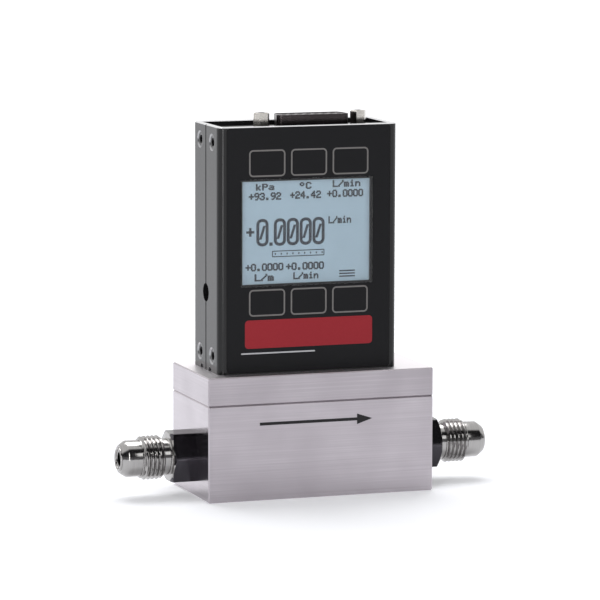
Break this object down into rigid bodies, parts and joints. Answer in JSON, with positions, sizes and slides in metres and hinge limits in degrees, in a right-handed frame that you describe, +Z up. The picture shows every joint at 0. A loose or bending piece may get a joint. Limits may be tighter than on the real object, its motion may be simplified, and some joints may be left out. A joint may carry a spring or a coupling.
{
  "type": "mass flow controller",
  "caption": "Upright gas mass flow controller: a stainless flow block with a threaded face-seal fitting at each end, under a slim black sleeve with a display, touch keys and a top D connector.",
  "frame": {"origin": "middle of the underside of the flow block", "axes": "+X along the gas flow from inlet to outlet, -Y is the front with the display, +Z up"},
  "size_m": [0.1266, 0.0382, 0.1236],
  "materials": {
    "block_steel": "fine brushed stainless steel",
    "fitting_steel": "turned and polished stainless steel",
    "screw_steel": "plain steel",
    "frame_aluminium": "machined, bare",
    "shell_black": "satin black coating",
    "panel_black": "matt black coating",
    "overlay_black": "fine textured film with printed key outlines",
    "clear_window": "clear lens",
    "display_glass": "pale grey-blue liquid crystal glass",
    "white_plastic": "white",
    "black_plastic": "moulded black",
    "board_green": "green solder mask",
    "seal_rubber": "black elastomer",
    "copper_wire": "enamelled copper",
    "connector_plating": "bright nickel plating",
    "gold_contacts": "gold plated"
  },
  "bodies": {
    "housing": {"absolute_sensor": "screw_steel", "armature_spring": "fitting_steel", "base_frame": "frame_aluminium", "base_screws": "screw_steel", "block_screws": "screw_steel", "board_header": "black_plastic", "board_screws": "screw_steel", "coil_bobbin": "black_plastic", "coil_leads": "copper_wire", "coil_washer": "screw_steel", "coil_winding": "copper_wire", "coil_yoke": "screw_steel", "connector_insulator": "black_plastic", "connector_pins": "gold_contacts", "connector_shell": "connector_plating", "core_tube": "fitting_steel", "differential_sensor": "black_plastic", "display_backlight": "white_plastic", "display_board": "board_green", "display_frame": "screw_steel", "display_glass": "display_glass", "display_window": "clear_window", "element_spacer": "fitting_steel", "fitting_o_rings": "seal_rubber", "flow_body": "block_steel", "front_overlay": "overlay_black", "front_shell": "shell_black", "inlet_fitting": "fitting_steel", "inlet_screen": "fitting_steel", "jackscrews": "screw_steel", "key_switches": "black_plastic", "laminar_element": "fitting_steel", "main_board": "board_green", "outlet_fitting": "fitting_steel", "pole_piece": "fitting_steel", "power_socket": "black_plastic", "processor_chip": "black_plastic", "rear_shell": "shell_black", "sensor_board": "board_green", "sensor_header": "black_plastic", "sensor_o_rings": "seal_rubber", "side_screws": "screw_steel", "socket_pin": "connector_plating", "tap_o_rings": "seal_rubber", "temperature_probe": "fitting_steel", "top_panel": "panel_black", "top_plate": "block_steel", "tube_o_ring": "seal_rubber", "valve_seat": "fitting_steel"},
    "valve_armature": {"armature": "fitting_steel", "armature_disc": "seal_rubber"},
    "key_plunger_bottom_left_body": {"key_plunger_bottom_left": "white_plastic"},
    "key_plunger_bottom_middle_body": {"key_plunger_bottom_middle": "white_plastic"},
    "key_plunger_bottom_right_body": {"key_plunger_bottom_right": "white_plastic"},
    "key_plunger_top_left_body": {"key_plunger_top_left": "white_plastic"},
    "key_plunger_top_middle_body": {"key_plunger_top_middle": "white_plastic"},
    "key_plunger_top_right_body": {"key_plunger_top_right": "white_plastic"}
  },
  "joints": [
    {"name": "valve_stroke", "type": "slide", "parent": "housing", "child": "valve_armature", "axis": [0, 0, 1], "range_m": [0, 0.0003], "stiffness_N_per_m": 2000, "springref_m": -0.001, "deforming": ["armature_spring"]},
    {"name": "key_press_bottom_left", "type": "slide", "parent": "housing", "child": "key_plunger_bottom_left_body", "axis": [0, 1, 0], "range_m": [0, 0.00025], "stiffness_N_per_m": 4000, "springref_m": -0.00025},
    {"name": "key_press_bottom_middle", "type": "slide", "parent": "housing", "child": "key_plunger_bottom_middle_body", "axis": [0, 1, 0], "range_m": [0, 0.00025], "stiffness_N_per_m": 4000, "springref_m": -0.00025},
    {"name": "key_press_bottom_right", "type": "slide", "parent": "housing", "child": "key_plunger_bottom_right_body", "axis": [0, 1, 0], "range_m": [0, 0.00025], "stiffness_N_per_m": 4000, "springref_m": -0.00025},
    {"name": "key_press_top_left", "type": "slide", "parent": "housing", "child": "key_plunger_top_left_body", "axis": [0, 1, 0], "range_m": [0, 0.00025], "stiffness_N_per_m": 4000, "springref_m": -0.00025},
    {"name": "key_press_top_middle", "type": "slide", "parent": "housing", "child": "key_plunger_top_middle_body", "axis": [0, 1, 0], "range_m": [0, 0.00025], "stiffness_N_per_m": 4000, "springref_m": -0.00025},
    {"name": "key_press_top_right", "type": "slide", "parent": "housing", "child": "key_plunger_top_right_body", "axis": [0, 1, 0], "range_m": [0, 0.00025], "stiffness_N_per_m": 4000, "springref_m": -0.00025}
  ]
}
